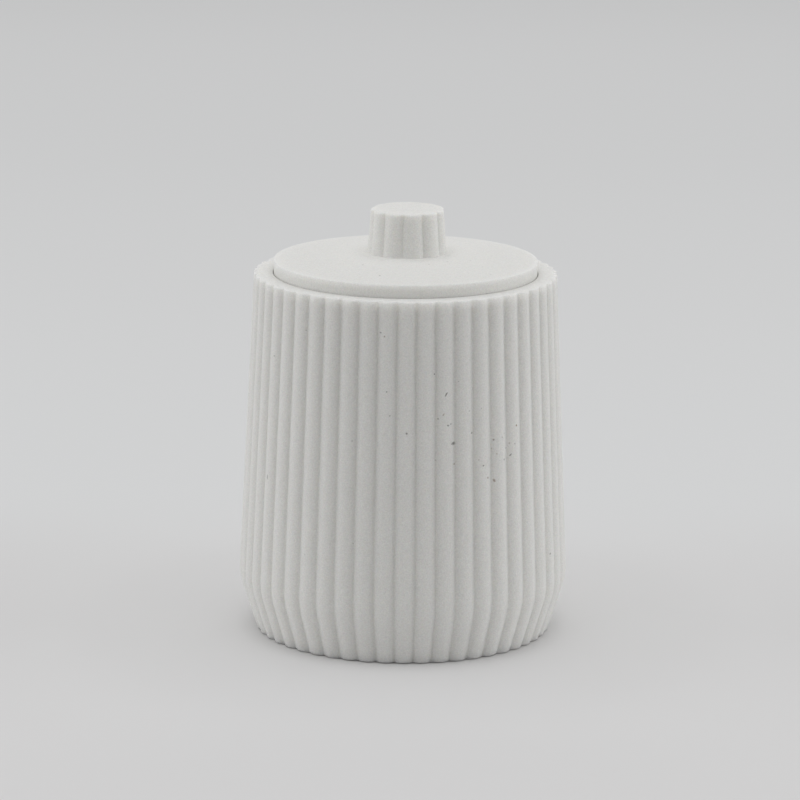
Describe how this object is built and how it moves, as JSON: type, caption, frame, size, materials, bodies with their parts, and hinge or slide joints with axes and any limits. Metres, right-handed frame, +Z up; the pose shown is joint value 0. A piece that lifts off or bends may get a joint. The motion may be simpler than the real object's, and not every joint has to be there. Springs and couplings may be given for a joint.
{
  "type": "storage jar",
  "caption": "Ribbed stoneware storage jar with an inset lid that lifts off and turns in its seat, a ribbed knob, a lid seal and a base pad.",
  "frame": {"origin": "on the jar's axis, on the surface that the pad under the base rests on", "axes": "+Z up along the jar's axis, -Y towards the viewer of the picture, +X to the viewer's right"},
  "size_m": [0.09, 0.0902, 0.1167],
  "materials": {
    "stoneware": "matte, unglazed, fine sandy grain with sparse dark specks",
    "pad_rubber": "matte",
    "seal_silicone": "satin"
  },
  "bodies": {
    "jar": {"jar_body": "stoneware", "base_pad": "pad_rubber"},
    "seal_ring": {"lid_seal": "seal_silicone"},
    "lid_and_knob": {"lid": "stoneware", "lid_knob": "stoneware"}
  },
  "joints": [
    {"name": "lid_lift", "type": "slide", "parent": "jar", "child": "seal_ring", "axis": [0, 0, 1], "range_m": [0, 0.03]},
    {"name": "lid_turn", "type": "hinge", "parent": "seal_ring", "child": "lid_and_knob", "pos_m": [0, 0, 0.0968], "axis": [0, 0, 1], "continuous": true}
  ]
}
